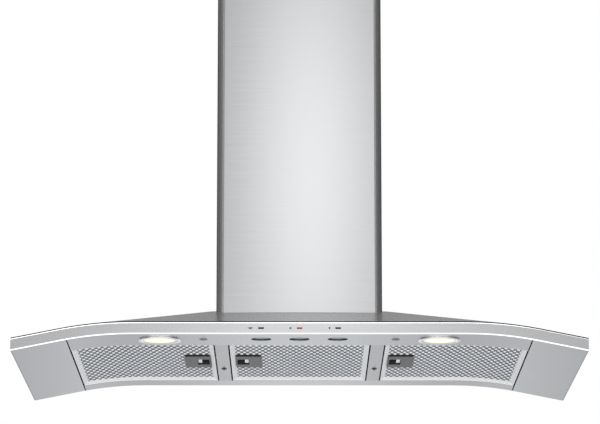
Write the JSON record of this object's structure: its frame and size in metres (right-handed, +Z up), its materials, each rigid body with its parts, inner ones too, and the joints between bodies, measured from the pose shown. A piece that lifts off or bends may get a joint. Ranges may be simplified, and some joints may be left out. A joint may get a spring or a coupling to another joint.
{
  "type": "range hood",
  "caption": "Wall chimney range hood with an arched canopy, tilting grease filters, push buttons, lamps and a telescoping duct cover.",
  "frame": {"origin": "centre of the four wall fixing holes in the motor box's plate, on the wall plane", "axes": "+X to the right along the wall, +Y into the wall, +Z up; the hood faces -Y"},
  "size_m": [0.9, 0.5, 0.7665],
  "materials": {
    "brushed_stainless": "brushed along the width, satin",
    "chrome": "polished",
    "lamp_glass": "clear, slightly frosted",
    "lamp_ceramic": "matt ceramic",
    "filter_aluminium": "satin",
    "grey_plastic": "satin",
    "spring_steel": "bright wire",
    "latch_metal": "bright",
    "button_metal": "satin",
    "screw_metal": "satin",
    "red_lens": "gloss",
    "black_lens": "gloss",
    "galvanised_steel": "zinc spangle",
    "motor_steel": "zinc plated",
    "capacitor_aluminium": "bare can",
    "board_laminate": "solder resist",
    "black_plastic": "moulded"
  },
  "bodies": {
    "root": {"canopy_top_skin": "brushed_stainless", "back_panel": "galvanised_steel", "front_band": "brushed_stainless", "indicator_lens_left": "black_lens", "indicator_lens_centre": "red_lens", "indicator_lens_right": "black_lens", "side_band_left": "brushed_stainless", "side_band_right": "brushed_stainless", "front_strip": "brushed_stainless", "rear_strip": "brushed_stainless", "end_panel_left": "brushed_stainless", "end_panel_right": "brushed_stainless", "crossbar_left": "brushed_stainless", "crossbar_right": "brushed_stainless", "crossbar_screws": "screw_metal", "lamp_bezel_left": "chrome", "lamp_lens_left": "lamp_glass", "lamp_reflector_left": "chrome", "lamp_socket_left": "lamp_ceramic", "lamp_bezel_right": "chrome", "lamp_lens_right": "lamp_glass", "lamp_reflector_right": "chrome", "lamp_socket_right": "lamp_ceramic", "strip_caps": "screw_metal", "button_housing": "black_plastic", "control_board": "board_laminate", "chimney_lower": "brushed_stainless", "motor_box": "galvanised_steel", "outlet_collar": "galvanised_steel", "collar_flange": "galvanised_steel", "blower_housing": "black_plastic", "inlet_rings": "galvanised_steel", "blower_motor": "motor_steel", "motor_mount": "galvanised_steel", "capacitor": "capacitor_aluminium", "electronics_box": "black_plastic", "cable_gland": "black_plastic"},
    "filter_left": {"filter_frame_left": "filter_aluminium", "filter_mesh_left": "filter_aluminium", "handle_tray_left": "grey_plastic", "latch_spring_left": "spring_steel"},
    "latch_left": {"latch_left": "latch_metal"},
    "filter_centre": {"filter_frame_centre": "filter_aluminium", "filter_mesh_centre": "filter_aluminium", "handle_tray_centre": "grey_plastic", "latch_spring_centre": "spring_steel"},
    "latch_centre": {"latch_centre": "latch_metal"},
    "filter_right": {"filter_frame_right": "filter_aluminium", "filter_mesh_right": "filter_aluminium", "handle_tray_right": "grey_plastic", "latch_spring_right": "spring_steel"},
    "latch_right": {"latch_right": "latch_metal"},
    "button_left": {"push_button_left": "button_metal"},
    "button_centre": {"push_button_centre": "button_metal"},
    "button_right": {"push_button_right": "button_metal"},
    "upper_cover": {"chimney_upper": "brushed_stainless", "upper_bracket": "galvanised_steel"},
    "impeller": {"impeller": "black_plastic"},
    "flap_left": {"flap_left": "black_plastic"},
    "flap_right": {"flap_right": "black_plastic"}
  },
  "joints": [
    {"name": "filter_left_tilt", "type": "hinge", "parent": "root", "child": "filter_left", "pos_m": [-0.35963, -0.22375, -0.22492], "axis": [0, 1, 0], "range_deg": [0, 60]},
    {"name": "latch_left_slide", "type": "slide", "parent": "filter_left", "child": "latch_left", "axis": [-1, 0, 0], "range_m": [0, 0.005], "stiffness_N_per_m": 300, "springref_m": -0.003, "deforming": ["latch_spring_left"]},
    {"name": "filter_centre_tilt", "type": "hinge", "parent": "root", "child": "filter_centre", "pos_m": [0.1085, -0.22375, -0.2164], "axis": [0, -1, 0], "range_deg": [0, 60]},
    {"name": "latch_centre_slide", "type": "slide", "parent": "filter_centre", "child": "latch_centre", "axis": [1, 0, 0], "range_m": [0, 0.005], "stiffness_N_per_m": 300, "springref_m": -0.003, "deforming": ["latch_spring_centre"]},
    {"name": "filter_right_tilt", "type": "hinge", "parent": "root", "child": "filter_right", "pos_m": [0.35963, -0.22375, -0.22492], "axis": [0, -1, 0], "range_deg": [0, 60]},
    {"name": "latch_right_slide", "type": "slide", "parent": "filter_right", "child": "latch_right", "axis": [1, 0, 0], "range_m": [0, 0.005], "stiffness_N_per_m": 300, "springref_m": -0.003, "deforming": ["latch_spring_right"]},
    {"name": "button_left_press", "type": "slide", "parent": "root", "child": "button_left", "axis": [0, 0, 1], "range_m": [0, 0.0025], "stiffness_N_per_m": 800, "springref_m": -0.002},
    {"name": "button_centre_press", "type": "slide", "parent": "root", "child": "button_centre", "axis": [0, 0, 1], "range_m": [0, 0.0025], "stiffness_N_per_m": 800, "springref_m": -0.002},
    {"name": "button_right_press", "type": "slide", "parent": "root", "child": "button_right", "axis": [0, 0, 1], "range_m": [0, 0.0025], "stiffness_N_per_m": 800, "springref_m": -0.002},
    {"name": "upper_cover_slide", "type": "slide", "parent": "root", "child": "upper_cover", "axis": [0, 0, 1], "range_m": [0, 0.35]},
    {"name": "impeller_spin", "type": "hinge", "parent": "root", "child": "impeller", "pos_m": [0, -0.1085, -0.024], "axis": [0, 1, 0], "continuous": true},
    {"name": "flap_left_swing", "type": "hinge", "parent": "root", "child": "flap_left", "pos_m": [0, -0.1085, 0.13], "axis": [0, 1, 0], "range_deg": [0, 70]},
    {"name": "flap_right_swing", "type": "hinge", "parent": "root", "child": "flap_right", "pos_m": [0, -0.1085, 0.13], "axis": [0, -1, 0], "range_deg": [0, 70]}
  ]
}
